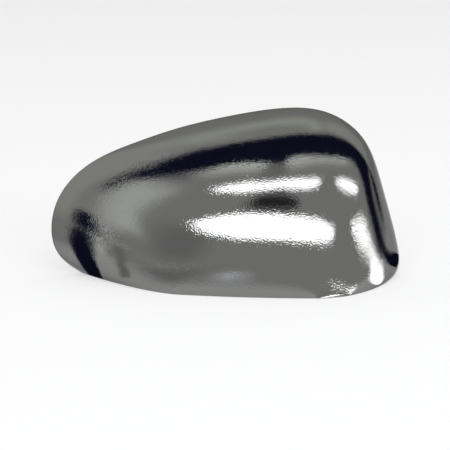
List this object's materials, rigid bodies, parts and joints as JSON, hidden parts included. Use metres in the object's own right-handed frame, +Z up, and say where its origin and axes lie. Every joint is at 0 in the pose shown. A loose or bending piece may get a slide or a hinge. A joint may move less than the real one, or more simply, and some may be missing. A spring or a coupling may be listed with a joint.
{
  "type": "wing mirror cover",
  "caption": "Curved satin-chrome cover for the back of a car's wing mirror housing, open at the rear and below, with pegs and snap hooks moulded inside.",
  "frame": {"origin": "middle of the bounding box in X and Y, at the plane of the lower rim", "axes": "+X along the cover towards the vehicle's door, +Y from the face back to the mirror housing, +Z up"},
  "size_m": [0.237, 0.07, 0.1135],
  "materials": {
    "satin_chrome": "satin"
  },
  "bodies": {
    "root": {"mirror_cover": "satin_chrome"}
  },
  "joints": []
}
